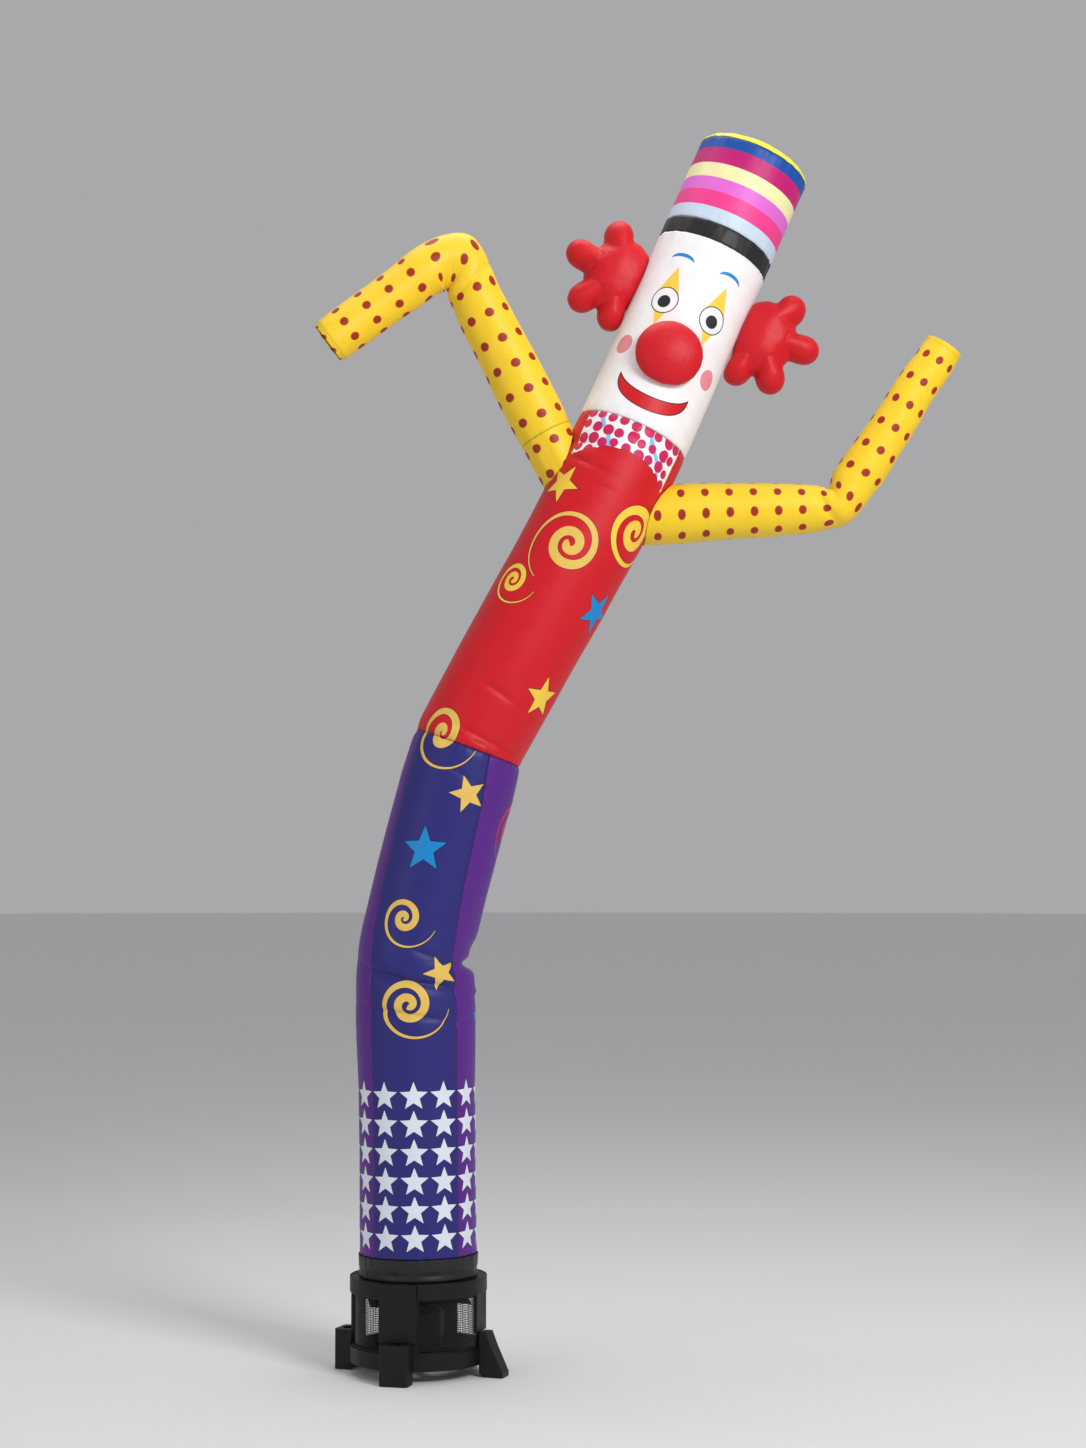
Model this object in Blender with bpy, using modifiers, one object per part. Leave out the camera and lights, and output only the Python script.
"""Inflatable air dancer: a clown figure of thin cloth tubes that stands on the fan blower filling it.

Metres, +Z up. The picture's right is +X and its viewer stands at -Y. The blower's axis is upright,
and the whole model is moved at the end so that the origin lies under the middle of its box.
"""

from math import cos, pi, radians, sin

import bmesh
import bpy
import numpy as np
from mathutils import Matrix, Vector

# Cloth
CLOTH = 0.0015
GAP = 0.0004
PANEL_GAP = 0.0012
MERGE = 0.00005
TUBE_SIDES = 20
ARM_SIDES = 12

# The figure's centre line, from the cuff's lower edge up, a row for each place where it changes.
# along: distance up the cloth. lean: tilt to +X. toward: tilt to the viewer. turn: twist of the panels.
SPINE_COLUMNS = ("along", "lean", "toward", "radius", "turn")
SPINE = (
    (0.00, -0.6, 0.0, 0.1535, 0.0),
    (0.50, -0.8, 0.0, 0.1545, 0.0),
    (0.68, -0.8, 0.0, 0.1585, 0.0),
    (0.77, -0.8, 0.0, 0.1570, -1.0),
    (0.92, 12.2, 0.0, 0.1520, -5.0),
    (1.06, 14.9, 0.0, 0.1515, -9.0),
    (1.30, 15.1, 0.0, 0.1535, -15.0),
    (1.375, 15.1, 0.0, 0.1500, -18.0),
    (1.455, 28.2, 0.0, 0.1470, -19.0),
    (1.62, 28.7, -1.2, 0.1491, -19.0),
    (1.96, 29.2, -4.2, 0.1506, -19.0),
    (2.16, 26.5, -6.3, 0.1523, -19.0),
    (2.36, 23.9, -7.4, 0.1547, -19.0),
    (2.52, 23.6, -7.0, 0.1534, -19.0),
    (3.40, 23.6, -7.0, 0.1564, -19.0),
)

# Folds pressed into the tube, a row for each. angle: 0 faces the viewer, 90 is at +X.
# long and wide: how far it reaches up the cloth and round it. slant: climb for each radian round.
FOLD_COLUMNS = ("along", "angle", "long", "wide", "depth", "slant")
FOLDS = (
    (0.826, 96.0, 0.018, 36.0, 0.030, 0.000),
    (0.866, 92.0, 0.040, 40.0, 0.014, 0.000),
    (0.762, 5.0, 0.013, 62.0, 0.009, -0.032),
    (0.690, -15.0, 0.014, 52.0, 0.004, -0.022),
    (0.850, 15.0, 0.012, 30.0, 0.004, 0.014),
    (1.415, 0.0, 0.010, 400.0, 0.005, 0.000),
    (1.445, 48.0, 0.012, 34.0, 0.006, -0.004),
    (2.262, -50.0, 0.014, 30.0, 0.006, -0.010),
    (2.362, 0.0, 0.012, 400.0, 0.004, 0.000),
)

# Seams, as distances up the cloth
CUFF_FOOT_Z = 0.256
CUFF_TOP = 0.056
WAIST = 1.415
NECK = 2.362
HAT_FOOT = NECK + 0.549
BAND_TOP = NECK + 0.597
CROWN_TOP = NECK + 0.845
DOME_RISE = 0.042
DOME_GAP = 0.0012
CUFF_RADIUS = 0.1570

# Where the tube needs a section, between its seams
LEG_SECTIONS = (
    0.20, 0.38, 0.54, 0.63, 0.665, 0.690, 0.715, 0.735, 0.752, 0.768, 0.785, 0.800,
    0.814, 0.826, 0.838, 0.853, 0.875, 0.910, 0.97, 1.05, 1.15, 1.27, 1.35, 1.39,
)
TORSO_SECTIONS = (1.432, 1.446, 1.462, 1.49, 1.56, 1.68, 1.80, 1.93, 2.05, 2.15, 2.23, 2.27, 2.31)
HEAD_SECTIONS = (2.39, 2.47, 2.62, 2.78)
CROWN_SECTIONS = (NECK + 0.68, NECK + 0.76)

# Arms, a row for each section, from the shoulder to the open end: place, the tube's direction as a
# lean from upright, its size across in the picture's plane and its size from front to back
ARM_COLUMNS = ("x", "y", "z", "lean", "across", "deep")
LEFT_ARM = (
    (0.336, 0.038, 2.492, -28.0, 0.144, 0.148),
    (0.315, 0.038, 2.535, -26.6, 0.152, 0.152),
    (0.269, 0.038, 2.626, -26.6, 0.152, 0.152),
    (0.221, 0.037, 2.721, -26.6, 0.147, 0.147),
    (0.172, 0.036, 2.816, -26.6, 0.145, 0.145),
    (0.144, 0.034, 2.876, -27.5, 0.140, 0.140),
    (0.107, 0.028, 2.954, -62.0, 0.162, 0.117),
    (0.080, 0.022, 2.962, -78.0, 0.159, 0.117),
    (0.012, 0.010, 2.931, -125.0, 0.135, 0.135),
    (-0.034, -0.002, 2.892, -126.9, 0.132, 0.132),
    (-0.095, -0.020, 2.844, -126.9, 0.128, 0.128),
    (-0.185, -0.046, 2.771, -126.9, 0.127, 0.127),
    (-0.231, -0.060, 2.733, -126.9, 0.123, 0.123),
    (-0.244, -0.064, 2.722, -126.9, 0.112, 0.112),
)
RIGHT_ARM = (
    (0.689, 0.044, 2.279, 87.8, 0.163, 0.163),
    (0.731, 0.044, 2.282, 87.8, 0.160, 0.160),
    (0.820, 0.044, 2.286, 87.8, 0.152, 0.152),
    (0.909, 0.044, 2.289, 87.8, 0.147, 0.147),
    (0.998, 0.044, 2.292, 87.8, 0.138, 0.138),
    (1.063, 0.044, 2.294, 86.5, 0.128, 0.129),
    (1.089, 0.044, 2.296, 80.0, 0.117, 0.127),
    (1.125, 0.044, 2.302, 60.0, 0.112, 0.129),
    (1.166, 0.044, 2.363, 34.0, 0.123, 0.127),
    (1.191, 0.044, 2.396, 32.0, 0.127, 0.127),
    (1.241, 0.044, 2.471, 32.0, 0.121, 0.121),
    (1.290, 0.044, 2.545, 32.0, 0.117, 0.117),
    (1.336, 0.044, 2.621, 32.0, 0.113, 0.113),
    (1.388, 0.044, 2.693, 32.0, 0.109, 0.109),
    (1.414, 0.044, 2.735, 32.0, 0.105, 0.105),
)
SHOULDER_SEAM_ROWS = 1
ARM_HOLE = 0.80
ARM_REACH_BACK = 0.30
ARM_CLEARANCE = 0.0030

# Hair tufts: a body and four round lobes. along is measured up from the nose's middle,
# out from the head's centre line
NOSE_ALONG = NECK + 0.208
NOSE_ANGLE = 1.5
LOBE_COLUMNS = ("along", "out", "radius")
LOBES = (
    (0.211, 0.333, 0.0435),
    (0.296, 0.252, 0.0475),
    (0.099, 0.277, 0.0455),
    (0.083, 0.185, 0.0430),
)
TUFT_BODY_ALONG = 0.194
TUFT_BODY_OUT = 0.216
TUFT_BODY_SIZE = (0.096, 0.056, 0.112)
LOBE_THICKNESS = 0.92
NOSE_RADIUS = 0.0893
NOSE_DEPTH = 0.046
HEAD_CLEARANCE = 0.0012

# Blower, around its upright axis. Angles: 0 faces the viewer, 90 is at +X.
COLLAR_OUTER, COLLAR_INNER, COLLAR_TOP = 0.1510, 0.1450, 0.304
FLANGE_RADIUS, FLANGE_TOP, FLANGE_FOOT = 0.1810, 0.254, 0.214
WALL_OUTER, WALL_INNER = 0.1740, 0.1665
BASE_RADIUS, BASE_INNER, BASE_TOP, BASE_FOOT = 0.1800, 0.1500, 0.074, 0.031
GUARD_SEAT = 0.068
WINDOWS = ((3.0, 72.0), (88.0, 145.0), (177.0, 240.0), (262.0, 328.0))
WINDOW_FOOT, WINDOW_TOP = 0.078, 0.209
GUARD_THICKNESS = 0.0020
TURN_STEPS = 40

POST_ANGLES = (-14.5, -109.0)
POST_WIDTH, POST_HEIGHT, POST_REACH = 0.078, 0.105, 0.226
POST_RECESS = 0.022
BRACE_ANGLES = (71.0, 161.0)
BRACE_WIDTH = 0.050
BRACE_PROFILE = (
    (0.160, 0.116), (0.200, 0.116), (0.214, 0.080), (0.245, 0.013),
    (0.245, 0.000), (0.190, 0.000), (0.160, 0.036),
)
PILLAR_WIDTH, PILLAR_REACH, PILLAR_BACK = 0.100, 0.187, 0.170

MOTOR_RADIUS, MOTOR_TOP = 0.066, 0.174
BRACKET_FOOT, BRACKET_TOP, BRACKET_WIDTH = 0.036, 0.050, 0.030
HUB_RADIUS, HUB_TOP = 0.046, 0.224
BLADES = 5
BLADE_TIP, BLADE_CHORD, BLADE_THICKNESS, BLADE_PITCH = 0.138, 0.070, 0.004, 34.0

COLOURS = {
    "blue": (0.030, 0.022, 0.300),
    "purple": (0.110, 0.010, 0.300),
    "red": (0.700, 0.010, 0.016),
    "white": (0.840, 0.820, 0.830),
    "black_cloth": (0.015, 0.015, 0.017),
    "stripes": (0.620, 0.060, 0.380),
    "cap_yellow": (0.850, 0.780, 0.060),
    "arm_yellow": (0.850, 0.520, 0.015),
    "black_plastic": (0.018, 0.018, 0.020),
    "black_wire": (0.030, 0.030, 0.032),
    "motor_grey": (0.080, 0.082, 0.085),
}
CLOTH_ROUGHNESS, PLASTIC_ROUGHNESS = 0.45, 0.55


# Scene

for old in list(bpy.data.objects):
    bpy.data.objects.remove(old)
figure = bpy.data.collections.new("air_dancer")
cutters = bpy.data.collections.new("cutters")
for collection in (figure, cutters):
    bpy.context.scene.collection.children.link(collection)
stand = bpy.data.objects.new("stand_point", None)
figure.objects.link(stand)
materials = {}


def material(name):
    """The finish of that colour, made once."""
    if name not in materials:
        made = bpy.data.materials.new(name)
        made.use_nodes = True
        shader = made.node_tree.nodes["Principled BSDF"]
        shader.inputs["Base Color"].default_value = (*COLOURS[name], 1.0)
        plastic = name in ("black_plastic", "black_wire", "motor_grey")
        shader.inputs["Roughness"].default_value = PLASTIC_ROUGHNESS if plastic else CLOTH_ROUGHNESS
        shader.inputs["Metallic"].default_value = 0.7 if name in ("black_wire", "motor_grey") else 0.0
        materials[name] = made
    return materials[name]


def piece(name, bm, colour):
    """A part of the figure from a finished bmesh."""
    mesh = bpy.data.meshes.new(name)
    bm.to_mesh(mesh)
    bm.free()
    mesh.materials.append(material(colour))
    made = bpy.data.objects.new(name, mesh)
    figure.objects.link(made)
    made.parent = stand
    return made


def cutter(name, bm):
    """A shape that only cuts or joins others."""
    mesh = bpy.data.meshes.new(name)
    bm.to_mesh(mesh)
    bm.free()
    made = bpy.data.objects.new(name, mesh)
    cutters.objects.link(made)
    made.parent = stand
    made.hide_render = True
    made.display_type = "WIRE"
    return made


def join_or_cut(target, tool, operation="DIFFERENCE"):
    step = target.modifiers.new(tool.name, "BOOLEAN")
    step.operation = operation
    step.solver = "EXACT"
    step.object = tool


def thicken(target, thickness=CLOTH):
    """Gives a sheet its thickness on its inner side."""
    step = target.modifiers.new("thickness", "SOLIDIFY")
    step.thickness = thickness
    step.offset = -1.0


def smooth(target, angle=35.0):
    target.data.shade_smooth()
    target.data.set_sharp_from_angle(angle=radians(angle))


# Centre line

def column(rows, columns, name):
    return [row[columns.index(name)] for row in rows]


def spine_value(name, along):
    return float(np.interp(along, column(SPINE, SPINE_COLUMNS, "along"), column(SPINE, SPINE_COLUMNS, name)))


def heading(along):
    """The way the centre line runs there."""
    lean, toward = radians(spine_value("lean", along)), radians(spine_value("toward", along))
    return Vector((sin(lean) * cos(toward), -sin(toward), cos(lean) * cos(toward)))


def centre_line(step=0.005):
    """Points of the centre line, one for each step up the cloth."""
    points = [Vector((0.0, 0.0, CUFF_FOOT_Z))]
    while len(points) * step <= SPINE[-1][0]:
        points.append(points[-1] + step * heading((len(points) - 0.5) * step))
    return step, points


LINE_STEP, LINE = centre_line()


def centre(along):
    place = min(max(along / LINE_STEP, 0.0), len(LINE) - 1.001)
    low = int(place)
    return LINE[low].lerp(LINE[low + 1], place - low)


def side_and_front(along):
    """The two directions across the tube: to the picture's right, and to the viewer."""
    lean = radians(spine_value("lean", along))
    side = Vector((cos(lean), 0.0, -sin(lean)))
    return side, side.cross(heading(along))


def fold_depth(along, angle):
    depth = 0.0
    for fold in FOLDS:
        row = dict(zip(FOLD_COLUMNS, fold))
        round_by = (angle - row["angle"] + 180.0) % 360.0 - 180.0
        up_by = along - row["along"] - row["slant"] * radians(round_by)
        depth += row["depth"] * np.exp(-((up_by / row["long"]) ** 2) - (round_by / row["wide"]) ** 2)
    return float(depth)


def skin(along, angle, swell=0.0):
    """A point of the tube's outer face."""
    side, front = side_and_front(along)
    radius = spine_value("radius", along) - fold_depth(along, angle) + swell
    return centre(along) + radius * (side * sin(radians(angle)) + front * cos(radians(angle)))


def clear_of_torso(point):
    """How far outside the torso's face a point lies."""
    distances = [(point - mark).length for mark in LINE]
    nearest = int(np.argmin(distances))
    return distances[nearest] - spine_value("radius", nearest * LINE_STEP)


# Cloth pieces

def sheet(name, colour, turns, rows, place):
    """A sheet laid out flat as a grid, wrapped to its place in space and given its thickness."""
    bm = bmesh.new()
    bmesh.ops.create_grid(bm, x_segments=len(turns) - 1, y_segments=len(rows) - 1, size=0.5)
    for corner in bm.verts:
        turn = turns[round((corner.co.x + 0.5) * (len(turns) - 1))]
        row = rows[round((corner.co.y + 0.5) * (len(rows) - 1))]
        corner.co = place(row, turn)
    bmesh.ops.remove_doubles(bm, verts=bm.verts, dist=MERGE)
    made = piece(name, bm, colour)
    thicken(made)
    smooth(made)
    return made


def full_turn(sides):
    return [-180.0 + 360.0 * step / sides for step in range(sides + 1)]


def between(low, high, sections):
    """The rows of a piece of tube, kept clear of its neighbours at both seams."""
    return [low + GAP / 2, *sections, high - GAP / 2]


def leg_panel(name, colour, middle):
    """One of the four long panels, a quarter of the way round, which turn with the cloth's twist."""
    edge = 45.0 - np.degrees(PANEL_GAP / 2 / SPINE[0][3])
    turns = [middle + edge * step / 3 for step in range(-3, 4)]
    rows = between(CUFF_TOP, WAIST, LEG_SECTIONS)
    sheet(name, colour, turns, rows, lambda row, turn: skin(row, turn + spine_value("turn", row)))


def tube(name, colour, rows):
    return sheet(name, colour, full_turn(TUBE_SIDES), rows, skin)


def cuff():
    """The black sleeve end that holds on to the blower's collar."""
    rows = (0.0, CUFF_TOP - GAP / 2)
    swell = CUFF_RADIUS - SPINE[0][3]
    sheet("cuff", "black_cloth", full_turn(TUBE_SIDES), rows, lambda row, turn: skin(row, turn, swell))


def hat_dome():
    """The yellow top, a shallow dome that closes the figure."""
    def place(rise, turn):
        base = skin(CROWN_TOP + DOME_GAP, turn)
        middle = centre(CROWN_TOP + DOME_GAP)
        lift = heading(CROWN_TOP) * DOME_RISE * sin(radians(rise))
        return middle + (base - middle) * cos(radians(rise)) + lift

    sheet("hat_dome", "cap_yellow", full_turn(TUBE_SIDES), (0.0, 22.0, 48.0, 70.0, 90.0), place)


def arm_place(rows):
    """The face of an arm: row is a place in the table, turn goes round the tube."""
    def place(row, turn):
        values = dict(zip(ARM_COLUMNS, rows[row]))
        lean = radians(values["lean"])
        across = Vector((cos(lean), 0.0, -sin(lean))) * values["across"] / 2
        deep = Vector((0.0, -1.0, 0.0)) * values["deep"] / 2
        middle = Vector((values["x"], values["y"], values["z"]))
        return middle + across * sin(radians(turn)) + deep * cos(radians(turn))

    return place


def shoulder_place(rows):
    """Like arm_place, with the first row carried back until it meets the torso's face."""
    arm = arm_place(rows)
    lean = radians(rows[0][ARM_COLUMNS.index("lean")])
    back = -Vector((sin(lean), 0.0, cos(lean)))

    def place(row, turn):
        start = arm(max(row, 0), turn)
        if row >= 0:
            return start
        near, far = 0.0, ARM_REACH_BACK
        for _ in range(30):
            half = (near + far) / 2
            if clear_of_torso(start + back * half) > ARM_CLEARANCE:
                near = half
            else:
                far = half
        return start + back * near

    return place


def arm_hole(name, torso, rows):
    """The round hole in the torso's side that lets air into an arm."""
    values = dict(zip(ARM_COLUMNS, rows[0]))
    lean = radians(values["lean"])
    way = Vector((sin(lean), 0.0, cos(lean)))
    radius = ARM_HOLE * values["across"] / 2
    bm = bmesh.new()
    bmesh.ops.create_cone(
        bm, cap_ends=True, segments=ARM_SIDES, radius1=radius, radius2=radius, depth=2 * radius,
        matrix=Matrix.Translation(Vector((values["x"], values["y"], values["z"])) - way * radius)
        @ way.to_track_quat("Z", "Y").to_matrix().to_4x4(),
    )
    join_or_cut(torso, cutter(name, bm))


def shifted(rows, index, by):
    """The rows from index on, with the first one moved along the arm to leave a seam's gap."""
    first = list(rows[index])
    lean = radians(first[ARM_COLUMNS.index("lean")])
    first[ARM_COLUMNS.index("x")] += by * sin(lean)
    first[ARM_COLUMNS.index("z")] += by * cos(lean)
    return (tuple(first), *rows[index + 1:])


def arms(torso):
    """Two sleeves, open at their ends; the left one is sewn to a short shoulder piece."""
    seam = LEFT_ARM[:SHOULDER_SEAM_ROWS]
    turns = full_turn(ARM_SIDES)
    sheet("shoulder_left", "arm_yellow", turns, (-1, 0), shoulder_place(seam))
    left = shifted(LEFT_ARM, SHOULDER_SEAM_ROWS - 1, GAP)
    sheet("arm_left", "arm_yellow", turns, range(len(left)), arm_place(left))
    sheet("arm_right", "arm_yellow", turns, range(-1, len(RIGHT_ARM)), shoulder_place(RIGHT_ARM))
    arm_hole("left_arm_hole", torso, LEFT_ARM)
    arm_hole("right_arm_hole", torso, RIGHT_ARM)


# Padded pieces

def head_frame():
    """The nose's level on the head's centre line, turned so that X is to the side and Z is up the head."""
    side, front = side_and_front(NOSE_ALONG)
    axes = Matrix((side, -front, heading(NOSE_ALONG))).transposed().to_4x4()
    return Matrix.Translation(centre(NOSE_ALONG)) @ axes


def head_core():
    """The room that the head's tube takes up, which padded pieces are cut to fit."""
    bm = bmesh.new()
    radius = spine_value("radius", NOSE_ALONG) + HEAD_CLEARANCE
    bmesh.ops.create_cone(
        bm, cap_ends=True, segments=48, radius1=radius, radius2=radius, depth=0.7, matrix=head_frame()
    )
    return cutter("head_core", bm)


def ball(matrix, size, around=12, rings=8):
    bm = bmesh.new()
    scale = Matrix.Diagonal((*size, 1.0))
    bmesh.ops.create_uvsphere(bm, u_segments=around, v_segments=rings, radius=1.0, matrix=matrix @ scale)
    return bm


def lobe(frame, hand, row):
    """A round-ended finger from the tuft's body out to the lobe's middle."""
    values = dict(zip(LOBE_COLUMNS, row))
    start = Vector((hand * TUFT_BODY_OUT, 0.0, TUFT_BODY_ALONG))
    end = Vector((hand * values["out"], 0.0, values["along"]))
    radius = values["radius"]
    bm = bmesh.new()
    bmesh.ops.create_uvsphere(bm, u_segments=10, v_segments=8, radius=radius)
    for corner in bm.verts:
        if corner.co.z < -MERGE:
            corner.co.z -= (end - start).length
        corner.co.y *= LOBE_THICKNESS
    turn = (end - start).to_track_quat("Z", "Y").to_matrix().to_4x4()
    bm.transform(frame @ Matrix.Translation(end) @ turn)
    return bm


def hair_tuft(name, hand, core):
    frame = head_frame()
    body = frame @ Matrix.Translation((hand * TUFT_BODY_OUT, 0.0, TUFT_BODY_ALONG))
    tuft = piece(name, ball(body, TUFT_BODY_SIZE), "red")
    for number, row in enumerate(LOBES, 1):
        join_or_cut(tuft, cutter(f"{name}_lobe_{number}", lobe(frame, hand, row)), "UNION")
    join_or_cut(tuft, core)
    smooth(tuft, 50.0)


def nose(core):
    """A shallow padded ball on the front of the head."""
    out = Matrix.Translation((0.0, -spine_value("radius", NOSE_ALONG), 0.0))
    front = head_frame() @ facing(NOSE_ANGLE) @ out
    made = piece("nose", ball(front, (NOSE_RADIUS, NOSE_DEPTH, NOSE_RADIUS), 16, 10), "red")
    join_or_cut(made, core)
    smooth(made, 50.0)


# Blower

def prism(outline, depth, matrix):
    """A flat outline in the XY plane, made that deep, half to each side."""
    bm = bmesh.new()
    face = bm.faces.new([bm.verts.new((x, y, -depth / 2)) for x, y in outline])
    grown = bmesh.ops.extrude_face_region(bm, geom=[face])["geom"]
    bmesh.ops.translate(bm, verts=[v for v in grown if isinstance(v, bmesh.types.BMVert)], vec=(0, 0, depth))
    bmesh.ops.recalc_face_normals(bm, faces=bm.faces)
    bm.transform(matrix)
    return bm


def facing(angle):
    """Turns a shape built towards the viewer, at -Y, to that angle round the axis."""
    return Matrix.Rotation(radians(angle), 4, "Z")


def turned(name, profile, colour):
    """A closed outline of radius and height, turned about the axis."""
    bm = bmesh.new()
    corners = [bm.verts.new((radius, 0.0, height)) for radius, height in profile]
    for one, other in zip(corners, corners[1:] + corners[:1]):
        bm.edges.new((one, other))
    made = piece(name, bm, colour)
    turn = made.modifiers.new("turn", "SCREW")
    turn.steps = turn.render_steps = TURN_STEPS
    turn.use_merge_vertices = True
    turn.merge_threshold = MERGE
    turn.use_smooth_shade = False
    return made


def housing():
    """One moulding: outlet collar, flange, pillars between the windows, and base ring."""
    made = turned(
        "housing",
        (
            (COLLAR_OUTER, COLLAR_TOP), (COLLAR_OUTER, FLANGE_TOP), (FLANGE_RADIUS, FLANGE_TOP),
            (FLANGE_RADIUS, FLANGE_FOOT), (WALL_OUTER, FLANGE_FOOT), (WALL_OUTER, BASE_TOP),
            (BASE_RADIUS, BASE_TOP), (BASE_RADIUS, BASE_FOOT), (BASE_INNER, BASE_FOOT),
            (BASE_INNER, GUARD_SEAT), (WALL_INNER, GUARD_SEAT), (WALL_INNER, FLANGE_FOOT + GAP),
            (COLLAR_INNER, FLANGE_FOOT + GAP), (COLLAR_INNER, COLLAR_TOP),
        ),
        "black_plastic",
    )
    reach = 2 * FLANGE_RADIUS
    for number, (start, end) in enumerate(WINDOWS, 1):
        outline = [(0.0, 0.0)]
        outline += [(reach * sin(radians(a)), -reach * cos(radians(a))) for a in (start, (start + end) / 2, end)]
        middle = Matrix.Translation((0.0, 0.0, (WINDOW_FOOT + WINDOW_TOP) / 2))
        join_or_cut(made, cutter(f"window_{number}", prism(outline, WINDOW_TOP - WINDOW_FOOT, middle)))
    join_or_cut(made, square_pillar(), "UNION")


def square_pillar():
    """The flat-fronted pillar over the front post, from the post's top to the flange."""
    half = PILLAR_WIDTH / 2
    outline = [(-half, -PILLAR_REACH), (half, -PILLAR_REACH)]
    for share in (1.0, 0.5, 0.0, -0.5, -1.0):
        across = half * share
        outline.append((across, -(PILLAR_BACK ** 2 - across ** 2) ** 0.5))
    foot, top = POST_HEIGHT + GAP, FLANGE_TOP - 2 * GAP
    middle = Matrix.Translation((0.0, 0.0, (foot + top) / 2))
    return cutter("square_pillar", prism(outline, top - foot, facing(POST_ANGLES[0]) @ middle))


def guard():
    """The fine mesh rolled inside the pillars, uncut here."""
    outer = WALL_INNER - GAP
    inner = outer - GUARD_THICKNESS
    top, foot = FLANGE_FOOT, GUARD_SEAT + GAP
    turned("guard_mesh", ((outer, top), (outer, foot), (inner, foot), (inner, top)), "black_wire")


def ring_core():
    """The room inside the base ring's outer face, which the legs are cut to fit."""
    bm = bmesh.new()
    radius = BASE_RADIUS + 2 * GAP
    bmesh.ops.create_cone(bm, cap_ends=True, segments=2 * TURN_STEPS, radius1=radius, radius2=radius, depth=0.6)
    return cutter("ring_core", bm)


def post(name, angle, core):
    """A square leg with a round recess in its top."""
    back = WALL_INNER
    bm = bmesh.new()
    bmesh.ops.create_cube(bm, size=1.0)
    bmesh.ops.scale(bm, verts=bm.verts, vec=(POST_WIDTH, POST_REACH - back, POST_HEIGHT))
    bmesh.ops.translate(bm, verts=bm.verts, vec=(0.0, -(POST_REACH + back) / 2, POST_HEIGHT / 2))
    upright = [e for e in bm.edges if abs(e.verts[0].co.z - e.verts[1].co.z) > POST_HEIGHT / 2]
    bmesh.ops.bevel(bm, geom=upright, offset=0.010, segments=2, profile=0.5, affect="EDGES", material=-1)
    bm.transform(facing(angle))
    made = piece(name, bm, "black_plastic")
    join_or_cut(made, core)
    hole = bmesh.new()
    middle = Vector((0.0, -POST_REACH + POST_RECESS + 0.006, POST_HEIGHT))
    bmesh.ops.create_cone(
        hole, cap_ends=True, segments=16, radius1=0.8 * POST_RECESS, radius2=0.8 * POST_RECESS, depth=0.04,
        matrix=facing(angle) @ Matrix.Translation(middle),
    )
    join_or_cut(made, cutter(f"{name}_recess", hole))


def brace(name, angle, core):
    """A sloping leg, its outline drawn from the side."""
    upright = Matrix(((0, 0, 1, 0), (-1, 0, 0, 0), (0, 1, 0, 0), (0, 0, 0, 1)))
    made = piece(name, prism(BRACE_PROFILE, BRACE_WIDTH, facing(angle) @ upright), "black_plastic")
    join_or_cut(made, core)


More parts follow.
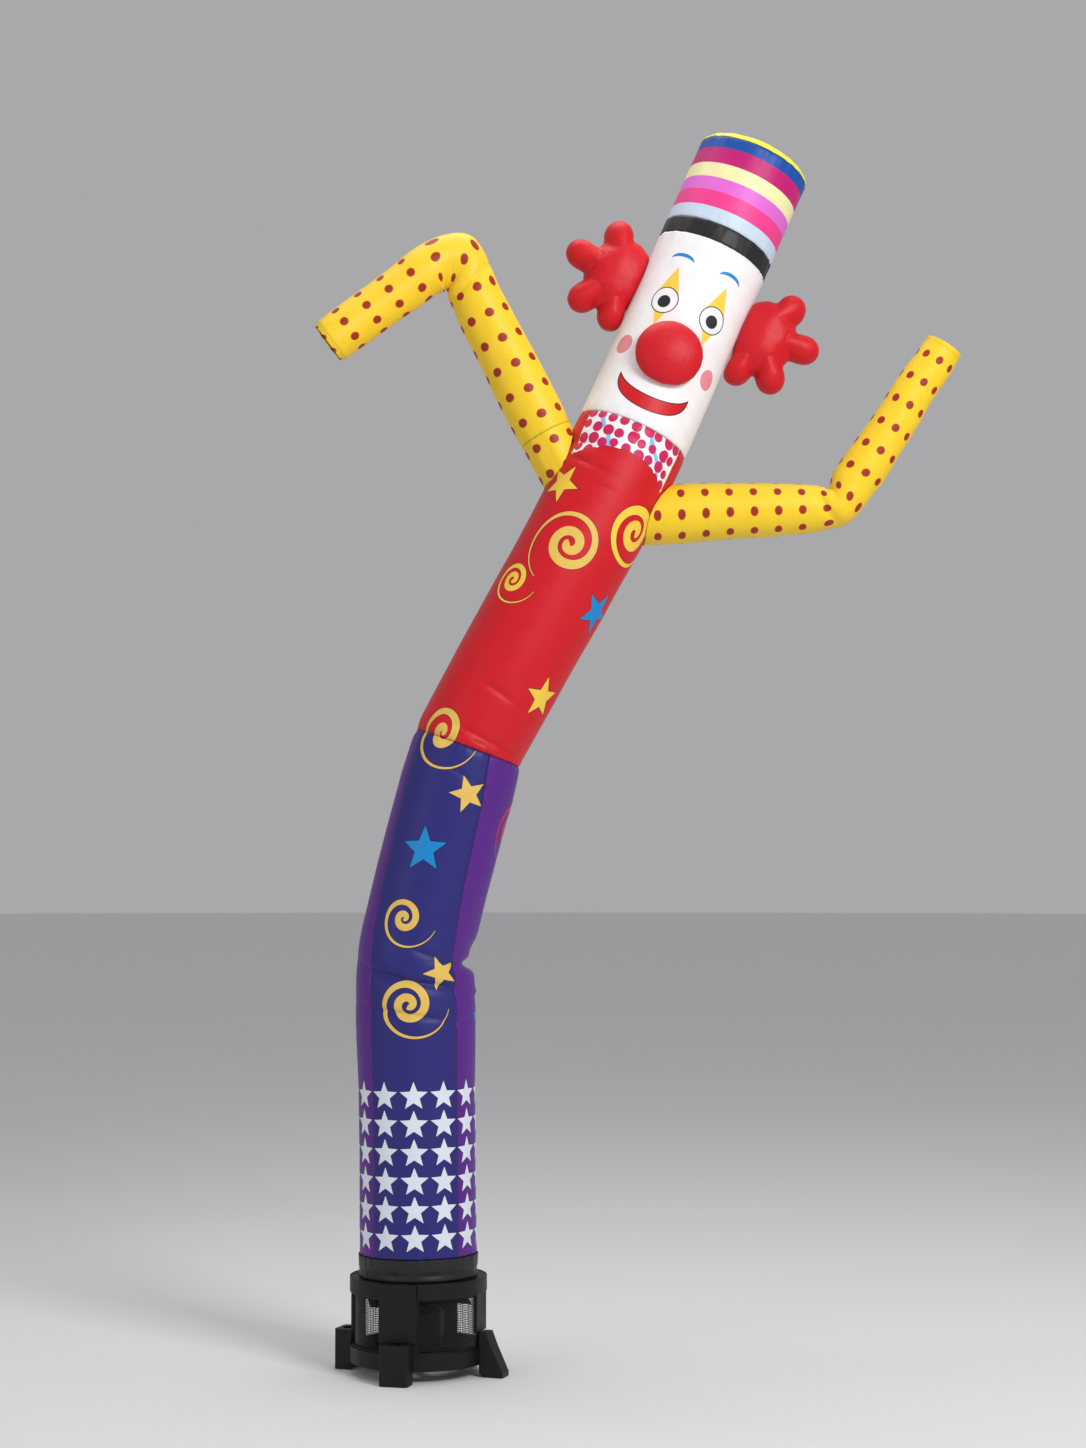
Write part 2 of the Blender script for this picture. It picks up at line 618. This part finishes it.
def motor_and_fan():
    """The motor on its crossed bracket, with the fan above it."""
    half, arm = BRACKET_WIDTH / 2, BASE_INNER - 2 * GAP
    outline = []
    for quarter in range(4):
        turn = Matrix.Rotation(quarter * pi / 2, 2)
        outline += [tuple(turn @ Vector(p)) for p in ((half, half), (half, arm * cos(half / arm)))]
        outline += [tuple(turn @ Vector((-half, arm * cos(half / arm))))]
    middle = Matrix.Translation((0.0, 0.0, (BRACKET_FOOT + BRACKET_TOP) / 2))
    piece("motor_bracket", prism(outline, BRACKET_TOP - BRACKET_FOOT, facing(26.0) @ middle), "black_plastic")
    foot = BRACKET_TOP + GAP
    turned(
        "motor",
        (
            (0.0, MOTOR_TOP), (MOTOR_RADIUS - 0.012, MOTOR_TOP), (MOTOR_RADIUS, MOTOR_TOP - 0.014),
            (MOTOR_RADIUS, foot + 0.014), (MOTOR_RADIUS - 0.012, foot), (0.0, foot),
        ),
        "motor_grey",
    )
    hub_foot = MOTOR_TOP + GAP
    hub = bmesh.new()
    bmesh.ops.create_cone(
        hub, cap_ends=True, segments=20, radius1=HUB_RADIUS, radius2=HUB_RADIUS * 0.8, depth=HUB_TOP - hub_foot,
        matrix=Matrix.Translation((0.0, 0.0, (HUB_TOP + hub_foot) / 2)),
    )
    fan = piece("fan", hub, "black_plastic")
    for number in range(BLADES):
        blade = bmesh.new()
        bmesh.ops.create_cube(blade, size=1.0)
        root = HUB_RADIUS * 0.6
        bmesh.ops.scale(blade, verts=blade.verts, vec=(BLADE_CHORD, BLADE_TIP - root, BLADE_THICKNESS))
        blade.transform(
            facing(360.0 * number / BLADES)
            @ Matrix.Translation((0.0, -(BLADE_TIP + root) / 2, (HUB_TOP + hub_foot) / 2))
            @ Matrix.Rotation(radians(BLADE_PITCH), 4, "Y")
        )
        join_or_cut(fan, cutter(f"blade_{number + 1}", blade), "UNION")


def blower():
    housing()
    guard()
    core = ring_core()
    for number, angle in enumerate(POST_ANGLES, 1):
        post(f"post_leg_{number}", angle, core)
    for number, angle in enumerate(BRACE_ANGLES, 1):
        brace(f"brace_leg_{number}", angle, core)
    motor_and_fan()


def cloth_figure():
    cuff()
    for name, colour, middle in (
        ("leg_panel_front", "blue", 0.0), ("leg_panel_right", "purple", 90.0),
        ("leg_panel_back", "blue", 180.0), ("leg_panel_left", "purple", -90.0),
    ):
        leg_panel(name, colour, middle)
    torso = tube("torso", "red", between(WAIST, NECK, TORSO_SECTIONS))
    tube("head", "white", between(NECK, HAT_FOOT, HEAD_SECTIONS))
    tube("hat_band", "black_cloth", between(HAT_FOOT, BAND_TOP, ()))
    tube("hat_crown", "stripes", between(BAND_TOP, CROWN_TOP, CROWN_SECTIONS))
    hat_dome()
    arms(torso)
    core = head_core()
    hair_tuft("hair_left", -1, core)
    hair_tuft("hair_right", 1, core)
    nose(core)


def set_on_origin():
    """Moves everything so that the origin lies on the floor under the middle of the model's box."""
    bpy.context.view_layer.update()
    ready = bpy.context.evaluated_depsgraph_get()
    corners = []
    for made in figure.objects:
        if made.type == "MESH":
            shape = made.evaluated_get(ready).to_mesh()
            corners += [made.matrix_world @ corner.co for corner in shape.vertices]
            made.evaluated_get(ready).to_mesh_clear()
    low = [min(corner[axis] for corner in corners) for axis in range(3)]
    high = [max(corner[axis] for corner in corners) for axis in range(3)]
    stand.location = (-(low[0] + high[0]) / 2, -(low[1] + high[1]) / 2, -low[2])
    bpy.context.view_layer.update()


blower()
cloth_figure()
set_on_origin()
